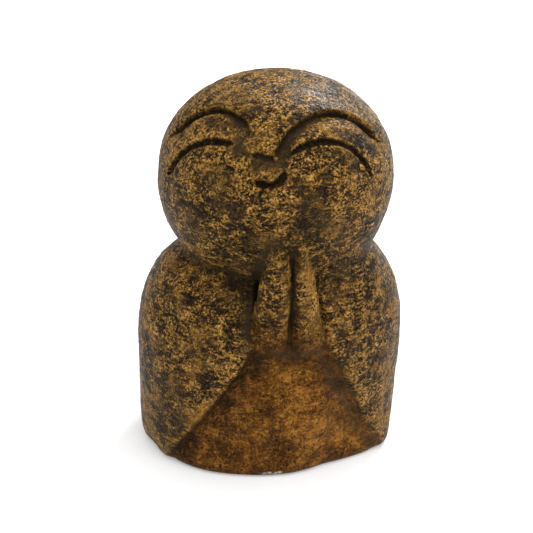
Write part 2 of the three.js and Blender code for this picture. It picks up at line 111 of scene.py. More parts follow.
MOUTH = [(-5.9, -8.8), (-3.1, -10), (-0.4, -10.6), (2, -10.7), (4.3, -10.2), (6.4, -9),
         (7.7, -7.1), (8.2, -5.1), (7.8, -3.6)]
NOSE_BASE = [(-8.3, 2.1), (-6.2, 3.8), (-4.3, 4.5), (-2.6, 4.2), (-0.9, 3.3), (1, 2.9), (3, 3.5)]
BROW_DEPTH = 1.9
BROW_REACH = 12.0
BROW_SLIT_DEPTH = 1.6
BROW_SLIT_WIDTH = 4.2
NOSE_SIDE_WIDTH = 7.5
SLIT_FLOOR_SHARE = 0.35
CARVED_EDGE = 1.3
NOSE_UNDERCUT = 1.6
NOSE_REACH = 7.5
NOSE_HEIGHT = 2.3
NOSE_PLACE = (-1.5, 7.5)
NOSE_SPREAD = (5, 7)
CHEEK_FULLNESS = 1.0
CHEEK_PLACES = [(-34, -5), (36, -5)]
CHEEK_SPREAD = (17, 10)
EYE_WIDTH = 3.7
LEFT_EYE_END_WIDTH = 5.2
EYE_DEPTH = 2.2
MOUTH_WIDTH = 4.0
MOUTH_DEPTH = 2.3
GROOVE_FLOOR = 0.7
GROOVE_END = 0.02
LINE_STEPS = 8

# Cloak
CLOAK_LEFT_EDGE = 17.8
CLOAK_RIGHT_EDGE = 20.2
CLOAK_RIGHT_LEAN = 7.5
RIGHT_LEAN_LOW = 0.42 * HEIGHT
RIGHT_LEAN_HIGH = 0.6 * HEIGHT
CLOAK_LEFT_SWING = 135.0
CLOAK_RIGHT_SWING = 104.0
CLOAK_SLANT = 0.9
CLOAK_KNEE_ROUND = 0.04 * HEIGHT
CLOAK_THICKNESS = 5.2
CLOAK_HEM_THICKNESS = 2.0
CLOAK_EDGE_SOFTNESS = 4.0
LEFT_SKIRT_SOFTNESS = 4.6
RIGHT_SKIRT_SOFTNESS = 6.2
SKIRT_HIGH = 0.4 * HEIGHT
SKIRT_LOW = 0.28 * HEIGHT
CLOAK_LIP_SHARE = 0.4
HEM_RISE = 0.1 * HEIGHT
HAND_RECESS = 1.0
RECESS_LOW = 0.27 * HEIGHT
RECESS_HIGH = 0.36 * HEIGHT
LAP_FULLNESS = 5.0
LAP_PLACE = (10, 0.15)
LAP_SPREAD = (26, 0.12)
LAP_START = 3.0
LAP_FULL = 20.0

# Where the body stands fuller than a plain round, or less full where below 0: fullness,
# place and spread, in degrees around it and shares of its height
SWELLS = {
    "chest, right": (5.2, (42, 0.58), (35, 0.065)),
    "side, right": (1.2, (88, 0.28), (25, 0.1)),
    "foot, left": (1.6, (-92, 0.03), (14, 0.1)),
    "foot, right": (2.4, (57, 0.02), (12, 0.08)),
    "corner, right": (-1.2, (80, 0), (10, 0.08)),
    "corner, left": (-2.1, (-78, 0), (12, 0.055)),
    "hem, right": (-3.0, (25, 0), (16, 0.1)),
}

# Hands: heel's and tip's place across, top, setback, width, thickness, share of the width
# that is left at the tip
HEEL_SINK = 3.9
TIP_SINK = 5.2
TIP_THICKNESS_SHARE = 0.62
TAPER_POWER = 2.8
HEEL_ROUND = 7.5
HEEL_BLEND_RISE = 14.0
TIP_ROUND = 6.0
DROPS = {
    "left hand": (-9.2, -5.5, FINGER_TIP, 0.0, 17.8, 17.0, 0.46),
    "right hand": (7.4, 4.2, FINGER_TIP, 0.0, 12.6, 17.0, 0.46),
    "palms": (0.1, -0.65, FINGER_TIP, 4.5, 12.0, 12.6, 0.46),
    "cuff edge": (14.2, 9.8, HAND_HEEL + 0.15 * HEIGHT, 1.5, 6.2, 13.2, 0.62),
}

HEAD_MIDDLE = np.array([HEAD_ASIDE, -HEAD_FORWARD, HEIGHT - HEAD_RISE])
HEAD_RADIUS = HEAD_WIDTH / 2
BODY_ARC = 0.4 * BODY_WIDTH
BODY_MEAN = 0.44 * BODY_WIDTH
FORM_MIDDLE = np.array([0.0, -2.0, HEIGHT / 2])


def ease(low, high, x):
    """From 0 at low to 1 at high, also where low is the larger of the two."""
    t = np.clip((x - low) / (high - low), 0, 1)
    return t * t * (3 - 2 * t)


def hump(x, y, place, spread):
    return np.exp(-((x - place[0]) / spread[0]) ** 2 - ((y - place[1]) / spread[1]) ** 2)


def smooth_min(a, b, blend):
    overlap = np.maximum(blend - np.abs(a - b), 0) / blend
    return np.minimum(a, b) - overlap * overlap * blend / 4


def smooth_max(a, b, blend):
    return -smooth_min(-a, -b, blend)


def carved_line(points):
    """A smooth line through the points, and how far along it each of its steps is."""
    p = np.array([points[0], *points, points[-1]], float)
    steps = []
    for i in range(1, len(p) - 2):
        leave, arrive = (p[i + 1] - p[i - 1]) / 2, (p[i + 2] - p[i]) / 2
        for t in np.arange(LINE_STEPS) / LINE_STEPS:
            cubic = 2 * p[i] - 2 * p[i + 1] + leave + arrive
            square = -3 * p[i] + 3 * p[i + 1] - 2 * leave - arrive
            steps.append(cubic * t ** 3 + square * t ** 2 + leave * t + p[i])
    steps.append(p[-1])
    steps = np.array(steps)
    lengths = np.hypot(*np.diff(steps, axis=0).T)
    return steps, np.concatenate([[0], np.cumsum(lengths)])


def beside_line(line, u, v):
    """The gap to a line, the gap below it, and how far along the line, from 0 to 1."""
    steps, along = line
    start, span = steps[:-1], np.diff(steps, axis=0)
    pu, pv = u[:, None] - start[:, 0], v[:, None] - start[:, 1]
    t = np.clip((pu * span[:, 0] + pv * span[:, 1]) / (span ** 2).sum(1), 0, 1)
    gaps = np.hypot(pu - t * span[:, 0], pv - t * span[:, 1])
    nearest = gaps.argmin(1)
    row = np.arange(len(u))
    gap = gaps[row, nearest]
    side = np.where(span[nearest, 0] * pv[row, nearest] > span[nearest, 1] * pu[row, nearest], -1, 1)
    share = (along[nearest] + t[row, nearest] * (along[nearest + 1] - along[nearest])) / along[-1]
    return gap, gap * side, share


def near(line, u, v):
    """Which places are near enough to a line for its carving to reach them."""
    low, high = line[0].min(0) - BROW_REACH, line[0].max(0) + BROW_REACH
    return (u > low[0]) & (u < high[0]) & (v > low[1]) & (v < high[1])


def ledge_depth(line, u, v, depth, reach, slit, slit_widths, fades):
    """The face drops just below the line and comes back further down."""
    carved = np.zeros(len(u))
    close = near(line, u, v)
    _, below, share = beside_line(line, u[close], v[close])
    fade = ease(0, fades[0], share) * (1 - ease(1 - fades[1], 1, share))
    slit_width = slit_widths[0] + (slit_widths[1] - slit_widths[0]) * share
    edge = ease(-CARVED_EDGE / 2, CARVED_EDGE / 2, below)
    shelf = edge * (1 - ease(CARVED_EDGE, reach, below))
    cut = edge * (1 - ease(SLIT_FLOOR_SHARE * slit_width, slit_width, below))
    carved[close] = (depth * shelf + slit * cut) * fade
    return carved


def groove_depth(line, u, v, widths, depth, fades):
    """A groove with a round floor that narrows towards both ends."""
    carved = np.zeros(len(u))
    close = near(line, u, v)
    gap, _, share = beside_line(line, u[close], v[close])
    narrowing = np.sqrt(ease(-GROOVE_END, fades[0], share)
                        * (1 - ease(1 - fades[1], 1 + GROOVE_END, share)))
    width = widths[0] + (widths[1] - widths[0]) * share
    half_width = np.maximum(width / 2 * narrowing, 1e-4)
    carved[close] = depth * narrowing * np.maximum(1 - (gap / half_width) ** 2, 0) ** GROOVE_FLOOR
    return carved


LINES = {
    "left brow": carved_line(LEFT_BROW),
    "right brow": carved_line(RIGHT_BROW),
    "nose base": carved_line(NOSE_BASE),
    "left eye": carved_line(LEFT_EYE),
    "right eye": carved_line(RIGHT_EYE),
    "mouth": carved_line(MOUTH),
}


BROW = (BROW_DEPTH, BROW_REACH, BROW_SLIT_DEPTH)
LEDGES = {
    "left brow": (*BROW, (BROW_SLIT_WIDTH, NOSE_SIDE_WIDTH), (0.18, 0.3)),
    "right brow": (*BROW, (NOSE_SIDE_WIDTH, BROW_SLIT_WIDTH), (0.04, 0.2)),
    "nose base": (NOSE_UNDERCUT, NOSE_REACH, 0, (BROW_SLIT_WIDTH, BROW_SLIT_WIDTH), (0.2, 0.1)),
}
GROOVES = {
    "left eye": ((LEFT_EYE_END_WIDTH, EYE_WIDTH), EYE_DEPTH, (0.1, 0.04)),
    "right eye": ((EYE_WIDTH, EYE_WIDTH), EYE_DEPTH, (0.1, 0.2)),
    "mouth": ((MOUTH_WIDTH, MOUTH_WIDTH), MOUTH_DEPTH, (0.14, 0.16)),
}


def carved_grooves(u, v):
    return sum(groove_depth(LINES[name], u, v, *sizes) for name, sizes in GROOVES.items())


def face_depth(u, v):
    """How deep the face is carved at a place, in degrees around and up from its middle."""
    depth = sum(ledge_depth(LINES[name], u, v, *sizes) for name, sizes in LEDGES.items())
    depth += carved_grooves(u, v) - NOSE_HEIGHT * hump(u, v, NOSE_PLACE, NOSE_SPREAD)
    for place in CHEEK_PLACES:
        depth -= CHEEK_FULLNESS * hump(u, v, place, CHEEK_SPREAD)
    return depth


FACE_OUT = np.array([
    math.sin(HEAD_TURN) * math.cos(HEAD_LIFT),
    -math.cos(HEAD_TURN) * math.cos(HEAD_LIFT),
    math.sin(HEAD_LIFT),
])
FACE_RIGHT = np.array([math.cos(HEAD_TURN), math.sin(HEAD_TURN), 0.0])
FACE_UP = np.cross(FACE_OUT, FACE_RIGHT)


def face_place(p):
    """Degrees around and up from the middle of the face."""
    q = p - HEAD_MIDDLE
    across, upward = q @ FACE_RIGHT, q @ FACE_UP
    off_middle = np.maximum(np.hypot(across, upward), 1e-4)
    per_length = np.degrees(np.arctan2(off_middle, q @ FACE_OUT)) / off_middle
    return across * per_length, upward * per_length


def head_distance(p):
    q = p - HEAD_MIDDLE
    above = q[:, 2] > 0
    rise, profile = np.where(above, HEAD_RISE, HEAD_DROP), np.where(above, CROWN_PROFILE, 2)
    ring = np.hypot(q[:, 0] / HEAD_RADIUS, q[:, 1] / (HEAD_DEPTH / 2))
    round_ = (ring ** profile + np.abs(q[:, 2] / rise) ** profile) ** (1 / profile)
    return (round_ - 1) * HEAD_RADIUS + face_depth(*face_place(p))


def inside_edges(around, z):
    """How far inside the cloak's two edges a place on the front is, in millimetres."""
    below = CLOAK_KNEE - z
    swing = (below + np.hypot(below, CLOAK_KNEE_ROUND)) / 2 / HEIGHT
    lean = CLOAK_RIGHT_LEAN * ease(RIGHT_LEAN_LOW, RIGHT_LEAN_HIGH, z)
    left = around + CLOAK_LEFT_EDGE + CLOAK_LEFT_SWING * swing
    right = CLOAK_RIGHT_EDGE - lean + CLOAK_RIGHT_SWING * swing - around
    return (np.radians(angle) * BODY_ARC * CLOAK_SLANT for angle in (left, right))


def edge_step(inside, skirt_softness, z):
    """The cloak's edge is crisp beside the hands and softer down the skirt."""
    skirt = ease(SKIRT_HIGH, SKIRT_LOW, z)
    softness = CLOAK_EDGE_SOFTNESS + (skirt_softness - CLOAK_EDGE_SOFTNESS) * skirt
    return ease(-CLOAK_LIP_SHARE * softness, (1 - CLOAK_LIP_SHARE) * softness, inside)


def opening_depth(around, z):
    left, right = inside_edges(around, z)
    step = edge_step(left, LEFT_SKIRT_SOFTNESS, z) * edge_step(right, RIGHT_SKIRT_SOFTNESS, z)
    recess = HAND_RECESS * ease(RECESS_LOW, RECESS_HIGH, z)
    in_lap = ease(LAP_START, LAP_FULL, np.minimum(left, right))
    lap = LAP_FULLNESS * hump(around, z / HEIGHT, LAP_PLACE, LAP_SPREAD) * in_lap
    hem = (CLOAK_THICKNESS - CLOAK_HEM_THICKNESS) * ease(HEM_RISE, 0, z)
    return step * (CLOAK_THICKNESS + recess - hem - lap)


def swelling(around, z):
    return sum(fullness * hump(around, z / HEIGHT, place, spread)
               for fullness, place, spread in SWELLS.values())


def body_distance(p, around):
    z = p[:, 2]
    x = p[:, 0] + BODY_SIDE_SHIFT * (1 - SIDE_SHIFT_SWING * ease(SIDE_SHIFT_LOW, SIDE_SHIFT_HIGH, z))
    y = p[:, 1] + BODY_LEAN * (np.clip(z / HEIGHT, 0, LEAN_END) / LEAN_FULL) ** 2
    depth = np.where(y < 0, BODY_FRONT, BODY_BACK)
    rise = np.where(z > WAIST, SHOULDER_RISE, BODY_DROP)
    ring = (np.abs(x / (BODY_WIDTH / 2)) ** BODY_ROUNDNESS
            + np.abs(y / depth) ** BODY_ROUNDNESS) ** (1 / BODY_ROUNDNESS)
    round_ = (ring ** BODY_PROFILE + np.abs((z - WAIST) / rise) ** BODY_PROFILE) ** (1 / BODY_PROFILE)
    opening = np.where(p[:, 1] < 0, opening_depth(around, z), 0)
    return (round_ - 1) * BODY_MEAN + opening - swelling(around, z)


def drop_distance(p, heel_aside, tip_aside, top, setback, width, thickness, tip_share):
    heel = np.array([heel_aside, HEEL_SINK - BODY_FRONT + setback, HAND_HEEL])
    tip = np.array([tip_aside, TIP_SINK - HEAD_FORWARD - HEAD_DEPTH / 2 + setback, top])
    axis = tip - heel
    q = p - heel
    t = np.clip(q @ axis / (axis @ axis), 0, 1)
    q = q - t[:, None] * axis
    half_width = width / 2 * (1 + (tip_share - 1) * t ** TAPER_POWER)
    half_thickness = thickness / 2 * (1 + (TIP_THICKNESS_SHARE - 1) * t ** TAPER_POWER)
    end_round = HEEL_ROUND + (TIP_ROUND - HEEL_ROUND) * t
    round_ = np.sqrt((q[:, 0] / half_width) ** 2 + (q[:, 1] / half_thickness) ** 2
                     + (q[:, 2] / end_round) ** 2)
    return (round_ - 1) * half_width


def hands_distance(p):
    distance = drop_distance(p, *DROPS["left hand"])
    for name in ("right hand", "palms", "cuff edge"):
        distance = smooth_min(distance, drop_distance(p, *DROPS[name]), FINGER_BLEND)
    return distance


def around_body(p):
    return np.degrees(np.arctan2(p[:, 0], -p[:, 1]))


def form_distance(p):
    """Below 0 inside the form, 0 on its surface, above 0 outside."""
    around, share = around_body(p), p[:, 2] / HEIGHT
    hand_blend = HAND_BLEND + HEEL_BLEND * ease(HAND_HEEL + HEEL_BLEND_RISE, HAND_HEEL, p[:, 2])
    chest = CHEST_BLEND * hump(around, share, CHEST_BLEND_PLACE, CHEST_BLEND_SPREAD)
    at_tips = TIP_BLEND_LESS * hump(around, share, TIP_BLEND_PLACE, TIP_BLEND_SPREAD)
    neck_blend = (NECK_BLEND + chest) * (1 - at_tips)
    distance = smooth_min(body_distance(p, around), hands_distance(p), hand_blend)
    distance = smooth_min(distance, head_distance(p), neck_blend)
    distance = smooth_max(distance, -p[:, 2] - FOOT_SUNK, FOOT_ROUND)
    return np.maximum(distance, -p[:, 2])


# Fineness of the surface: the longest edges, in millimetres, of its parts
START_SUBDIVISIONS = 5
FRONT_EDGE = 1.2
BACK_EDGE = 2.4
UNDERSIDE_EDGE = 6.0
HANDS_EDGE = 0.8
GROOVE_EDGE = 0.9
STEEP_EDGE = 0.5
TRIANGLES_MOST = 199_000
REFINE_ROUNDS = 14
COARSER = 1.04
MARCH_STEPS = 34
MARCH_SHARE = 0.75
FIRST_MARCHES = 3
FIRST_REACH = 0.75 * HEIGHT
START_SHARE = 0.35
START_GAP = 0.5

# Where the fine parts of the surface are, in millimetres
FACE_LOW = 0.57 * HEIGHT
FACE_BACK = 20.0
FRONT_SHARE = (-0.35, 0.25)
CROWN_SHARE = (0.8 * HEIGHT, 0.95 * HEIGHT)
CROWN_FINENESS = 0.7
GROOVE_INSIDE = 3.5
GROOVE_OUTSIDE = 1.5
STEEP_REACH = 0.9
GROOVE_LEAST = 0.02
STEEP_LEAST = 0.1
HANDS_ASIDE = 20.0
HANDS_FRONT = -40.0
HANDS_LOW = 66.0
HANDS_HIGH = 136.0
UNDERSIDE = 0.01


def on_surface(p, start):
    """The outermost points of the form on the rays from its middle, from a distance out."""
    direction = p - FORM_MIDDLE
    direction /= np.linalg.norm(direction, axis=1)[:, None]
    reach = start.copy()
    for _ in range(MARCH_STEPS):
        reach -= MARCH_SHARE * form_distance(FORM_MIDDLE + direction * reach[:, None])
    return FORM_MIDDLE + direction * reach[:, None]


def starting_sphere():
    bm = bmesh.new()
    bmesh.ops.create_icosphere(bm, subdivisions=START_SUBDIVISIONS, radius=1.0)
    bm.verts.ensure_lookup_table()
    points = np.array([v.co for v in bm.verts])
    faces = np.array([[v.index for v in f.verts] for f in bm.faces])
    bm.free()
    far = np.full(len(points), FIRST_REACH)
    for _ in range(FIRST_MARCHES):
        surface = on_surface(points + FORM_MIDDLE, far)
        far = np.linalg.norm(surface - FORM_MIDDLE, axis=1)
    return surface, faces


def beside_carving(p):
    """Per carved line on the head: the places near it, how far outside its steep edge they
    lie, how far below its upper edge, and how deeply it is carved there, from 0 to 1."""
    u, v = face_place(p)
    facing = (p[:, 2] > FACE_LOW) & (p[:, 1] < FACE_BACK)
    for name, line in LINES.items():
        close = np.nonzero(near(line, u, v) & facing)[0]
        if len(close) == 0:
            continue
        gap, below, share = beside_line(line, u[close], v[close])
        if name in LEDGES:
            fades = LEDGES[name][-1]
            full = ease(0, fades[0], share) * (1 - ease(1 - fades[1], 1, share))
            outside = -below
            under = below
        else:
            widths, _, fades = GROOVES[name]
            full = np.sqrt(ease(-GROOVE_END, fades[0], share)
                           * (1 - ease(1 - fades[1], 1 + GROOVE_END, share)))
            half_width = full * (widths[0] + (widths[1] - widths[0]) * share) / 2
            outside = gap - half_width
            under = below + half_width
        yield name, close, outside, under, share, full


def wanted_edge(p):
    """The longest edge that the surface may have at a place."""
    frontness = ease(*FRONT_SHARE, -p[:, 1] / BODY_FRONT)
    frontness = np.maximum(frontness, ease(*CROWN_SHARE, p[:, 2]) * CROWN_FINENESS)
    wanted = BACK_EDGE + (FRONT_EDGE - BACK_EDGE) * frontness
    for _, close, outside, _, _, full in beside_carving(p):
        carved = (outside > -GROOVE_INSIDE) & (outside < GROOVE_OUTSIDE) & (full > GROOVE_LEAST)
        steep = (np.abs(outside) < STEEP_REACH) & (full > STEEP_LEAST)
        wanted[close] = np.where(carved, np.minimum(wanted[close], GROOVE_EDGE), wanted[close])
        wanted[close] = np.where(steep, STEEP_EDGE, wanted[close])
    hands = (np.abs(p[:, 0]) < HANDS_ASIDE) & (p[:, 1] < HANDS_FRONT)
    hands = hands & (p[:, 2] > HANDS_LOW) & (p[:, 2] < HANDS_HIGH)
    wanted = np.where(hands, np.minimum(wanted, HANDS_EDGE), wanted)
    wanted = np.where(p[:, 2] < UNDERSIDE, UNDERSIDE_EDGE, wanted)
    return wanted * 1


def edges_of(faces):
    """The edges, each once, and the three edges of every triangle."""
    pairs = np.sort(faces[:, [0, 1, 1, 2, 2, 0]].reshape(-1, 2), axis=1)
    edges, which = np.unique(pairs, axis=0, return_inverse=True)
    return edges, which.reshape(-1, 3)


def with_longest(split, of_face, longest):
    """The edges to split, and the longest edge of every triangle that one of them is on."""
    split = split.copy()
    while True:
        needs = split[of_face].any(1) & ~split[longest]
        if not needs.any():
            return split
        split[longest[needs]] = True


def refine(points, faces):
    """Splits the edges that are too long, a triangle's longest edge first. Near the most
    triangles it may have, it splits only the edges that are longest for their place."""
    coarseness = 1.0
    for _ in range(REFINE_ROUNDS):
        edges, of_face = edges_of(faces)
        middle = points[edges].mean(1)
        length = np.linalg.norm(points[edges[:, 0]] - points[edges[:, 1]], axis=1)
        too_long = length / wanted_edge(middle)
        longest = length[of_face].argmax(1)
        row = np.arange(len(faces))
        split = with_longest(too_long > coarseness, of_face, of_face[row, longest])
        while len(faces) + split[of_face].sum() > TRIANGLES_MOST:
            coarseness *= COARSER
            split = with_longest(too_long > coarseness, of_face, of_face[row, longest])
        if not split.any():
            break
        new = np.full(len(edges), -1)
        new[split] = len(points) + np.arange(split.sum())
        ends = np.linalg.norm(points[edges[split]] - FORM_MIDDLE, axis=2)
        start = ends.max(1) + START_SHARE * length[split] + START_GAP
        points = np.vstack([points, on_surface(middle[split], start)])
        p, q, r = (faces[row, (longest + k) % 3] for k in range(3))
        across, following, last = (new[of_face[row, (longest + k) % 3]] for k in range(3))
        whole = across < 0
        pieces = [faces[whole]]
        for begin, end, middle_of in ((q, r, following), (r, p, last)):
            once = ~whole & (middle_of < 0)
            twice = ~whole & (middle_of >= 0)
            pieces.append(np.stack([across[once], begin[once], end[once]], 1))
            pieces.append(np.stack([across[twice], begin[twice], middle_of[twice]], 1))
            pieces.append(np.stack([across[twice], middle_of[twice], end[twice]], 1))
        faces = np.vstack(pieces)
    return points, faces


def normals_of(points, faces):
    corner = points[faces]
    flat = np.cross(corner[:, 1] - corner[:, 0], corner[:, 2] - corner[:, 0])
    total = np.zeros_like(points)
    for k in range(3):
        np.add.at(total, faces[:, k], flat)
    return total / np.maximum(np.linalg.norm(total, axis=1), 1e-9)[:, None]


NOISE_STRENGTH = 1.55
LAYERS_APART = 17.3
TABLE_SIZE = 256


class Noise:
    """Gradient noise of about -1 to 1, at points given in wavelengths."""

    def __init__(self, seed):
        random = np.random.RandomState(seed)
        self.order = np.tile(random.permutation(TABLE_SIZE), 2)
        steep = random.normal(size=(TABLE_SIZE, 3))
        self.slopes = steep / np.linalg.norm(steep, axis=1)[:, None]

    def at(self, p):
        cell = np.floor(p).astype(np.int64)
        part = p - cell
        weight = part ** 3 * (part * (part * 6 - 15) + 10)
        cell &= TABLE_SIZE - 1
        total = np.zeros(len(p))
        for corner in np.ndindex(2, 2, 2):
            c = (cell + corner) & (TABLE_SIZE - 1)
            slope = self.slopes[self.order[self.order[self.order[c[:, 0]] + c[:, 1]] + c[:, 2]]]
            share = np.prod(np.where(corner, weight, 1 - weight), axis=1)
            total += share * ((part - corner) * slope).sum(1)
        return total * NOISE_STRENGTH

    def layers(self, p, count):
        total = np.zeros(len(p))
        for k in range(count):
            total += self.at(p * 2 ** k + LAYERS_APART * k) / 2 ** k
        return total


BROAD, PATCH, WARP, LUMP, RIDGE, STREAK, KNOB = (Noise(seed) for seed in (11, 23, 37, 41, 59, 73, 89))


# Where an area fades in: 0 at the first number, 1 at the second. Over depth and over height,
# in millimetres
FRONT = (8, -6)
BELOW_HANDS = (79, 71)
ROBE_BELOW = (92, 76)
RIGHT_LIP_BELOW = (0.46 * HEIGHT, 0.38 * HEIGHT)
VALLEY_BELOW = (0.4 * HEIGHT, 0.33 * HEIGHT)
LEFT_OF_HANDS_ABOVE = (74, 84)
HAND_GROOVE_ABOVE = (72, 80)
WORN_HANDS_BELOW = (97, 82)
KNOBS_ABOVE = (84, 100)
RELIEF_ABOVE = (0.2, 2.5)
# Inside the cloak's edges, and below 0 outside them
ROBE_INSIDE = (-0.6, 1.0)
HEM_BAND_INSIDE = (11, 3)
LEFT_LIP_OUTER = (-5, -1.2)
LEFT_LIP_INNER = (0.4, -0.8)
RIGHT_LIP_OUTER = (-13, -3)
RIGHT_LIP_INNER = (0.4, -1.5)
UNDER_HANDS_INSIDE = (-2, 2)
# Away from the hands, the head and the body, and across the figure
NEAR_HANDS = (2.2, 0.2)
SHADE_NEAR_HANDS = (8, 1.5)
CLEAR_OF_HANDS = (2, 6)
LEFT_OF_HANDS_ASIDE = (-6, -11)
RIGHT_HAND_ASIDE = (2.5, 4.5)
HAND_GROOVE_HALF = (1.9, 0.8)
HEAD_OVER_BODY = (-1.5, 1.5)
NEAR_NECK = (9, 1)
# In degrees around and up on the head
CROWN_UP = (26, 46)
GLOSSY_UP = (24, 44)
GLOSSY_RIGHT = (0, 26)

# Strips beside the cloak's edges and the gap between the hands: middle and half width
# The strip inside the left edge holds the painted shadow of the sleeve on the robe
EDGE_STRIP = (0.4, 1.1)
VALLEY_STRIP = (3.5, 4.0)
HAND_GAP_ASIDE = 0.3

# Single places: middle and spread, in degrees around the body and shares of its height
UNDER_HANDS = ((2, 0.36), (26, 0.0225))
SHADED_SLEEVE = ((-30, 0.54), (12, 0.06))
SMOOTH_SLEEVE = ((-62, 0.12), (22, 0.14))
# The lap's mound, painted paler as a highlight
LAP_HIGHLIGHT = (LAP_PLACE, (24, 0.1))
# The same on the head, in degrees around and up
SMOOTH_CHIN = ((22, -30), (16, 10))
LIT_UNDER_MOUTH = ((3.2, -6.4), (3, 2))
NOSE_TIP = ((0.2, 6.0), (3.6, 4.0))
LIDS = [((-36, 18), (22, 8)), ((36, 19), (22, 9))]
# Places under and beside the nose, dark and smooth: painted shade, with patina in these hollows
SHADED_FACE_PLACES = [
    ((-4.8, -2.4), (3.0, 4.6)),
    ((2.4, -1.2), (3.4, 2.6)),
    ((7.6, 1.2), (2.6, 4.6)),
    ((-14.5, 8.0), (4.2, 8.0)),
]

# How full an area is at most, and where it starts and is full
FACE_SHADE_MOST = 0.85
FACE_SHADE_FADE = (0.2, 0.8)
VALLEY_MOST = 0.85
SLEEVE_SHADE_MOST = 0.5
RIGHT_LIP_MOST = 0.9
WORN_HANDS_MOST = 0.75


def strip(x, middle, half_width):
    return np.exp(-((x - middle) / half_width) ** 2)


def masks(p):
    """Where the figure's areas are: 0 to 1 at each point."""
    around, z = around_body(p), p[:, 2]
    share = z / HEIGHT
    u, v = face_place(p)
    front = ease(*FRONT, p[:, 1])
    left, right = inside_edges(around, z)
    inside = np.minimum(left, right)
    beside_hands = hands_distance(p)
    hands = ease(*NEAR_HANDS, beside_hands) * front
    head_gap, body_gap = head_distance(p), body_distance(p, around)
    head = ease(*HEAD_OVER_BODY, body_gap - head_gap) * (1 - hands)
    # Near the neck crease, where the colour is painted darker as shade with patina
    neck = ease(*NEAR_NECK, head_gap) * ease(*NEAR_NECK, body_gap) * (1 - hands)

    robe = ease(*ROBE_INSIDE, inside) * front * ease(*ROBE_BELOW, z) * (1 - hands)
    below_hands = front * ease(*BELOW_HANDS, z)
    left_lip = ease(*LEFT_LIP_OUTER, left) * ease(*LEFT_LIP_INNER, left) * below_hands
    right_lip = ease(*RIGHT_LIP_OUTER, right) * ease(*RIGHT_LIP_INNER, right)
    right_lip = right_lip * front * ease(*RIGHT_LIP_BELOW, z)

    shaded_face = ease(*FACE_SHADE_FADE, sum(hump(u, v, *place) for place in SHADED_FACE_PLACES))
    dark_face = FACE_SHADE_MOST * shaded_face * head * (1 - hump(u, v, *LIT_UNDER_MOUTH))
    # Painted shade, with patina, in the valley inside the cloak's right edge
    valley = VALLEY_MOST * front * strip(right, *VALLEY_STRIP) * ease(*VALLEY_BELOW, z)
    # Painted shadow under the hands, beside the left hand and in the groove between the hands
    under_hands = front * hump(around, share, *UNDER_HANDS) * ease(*UNDER_HANDS_INSIDE, inside)
    left_of_hands = front * ease(*SHADE_NEAR_HANDS, beside_hands) * (1 - hands)
    left_of_hands *= ease(*LEFT_OF_HANDS_ASIDE, p[:, 0]) * ease(*LEFT_OF_HANDS_ABOVE, z)
    hand_groove = ease(*HAND_GROOVE_HALF, np.abs(p[:, 0] - HAND_GAP_ASIDE)) * hands
    hand_groove *= ease(*HAND_GROOVE_ABOVE, z)
    sleeve_shade = SLEEVE_SHADE_MOST * front * hump(around, share, *SHADED_SLEEVE)
    sleeve_shade *= ease(*CLEAR_OF_HANDS, beside_hands)
    # Together these darken the colour as painted shade, with patina in the face's hollows and in the
    # valley
    painted_shade_and_patina = [dark_face, valley, under_hands, left_of_hands, hand_groove, sleeve_shade]

    smooth_sleeve = front * hump(around, share, *SMOOTH_SLEEVE) * (1 - robe)
    return {
        "painted_shade_and_patina": np.clip(np.maximum.reduce(painted_shade_and_patina), 0, 1),
        # Painted shadow of the left sleeve: a thin strip on the robe below the hands
        "edge": strip(left, *EDGE_STRIP) * below_hands,
        "lip": np.maximum(left_lip, RIGHT_LIP_MOST * right_lip),
        # More ochre on the right hand, as painted light
        "right_hand_painted_light": hands * ease(*RIGHT_HAND_ASIDE, p[:, 0]),
        "robe": np.maximum(robe, WORN_HANDS_MOST * hands * ease(*WORN_HANDS_BELOW, z)),
        "hem_band": robe * ease(*HEM_BAND_INSIDE, left),
        "hands": hands,
        "neck": neck,
        "crown": head * ease(*CROWN_UP, v) * front,
        "smooth": np.maximum(smooth_sleeve, head * hump(u, v, *SMOOTH_CHIN)),
        "nose": head * hump(u, v, *NOSE_TIP),
        "glossy": head * ease(*GLOSSY_UP, v) * ease(*GLOSSY_RIGHT, u) * front,
        "lids": head * sum(hump(u, v, *lid) for lid in LIDS),
        # Painted highlight on the lap's mound
        "lap": robe * hump(around, share, *LAP_HIGHLIGHT),
    }


# The carving's colour areas, in millimetres outside its steep edge or under its upper one
CHIPPED_EDGE = 0.14
CHIPPED_WAVE = 1.7
FLOOR_START = (0.2, -0.4)
LEDGE_FLOOR_END = (3.4, 1.4)
# Painted shadow: a thin dark line under the upper edge of each carving
CREASE_SHADOW_STRIP = (0.55, 0.6)
CREASE_SHADOW_INSIDE = (0.6, 0)
RIM_STRIP = (0.55, 0.45)
# Skin below the ledges is painted darker, as shade with patina, most of all where the brows run down
# beside the nose
NOSE_SIDES = {"left brow": (0.5, 0.8), "right brow": (0.5, 0.2)}
SHADE_START = (0.3, -0.3)
SHADE_REACH = 4.0
SHADE_REACH_MORE = 5.0
SHADE_FULL_SHARE = 0.4
SHADE_LEAST = 0.35
SHADE_UNDER_NOSE = 0.8


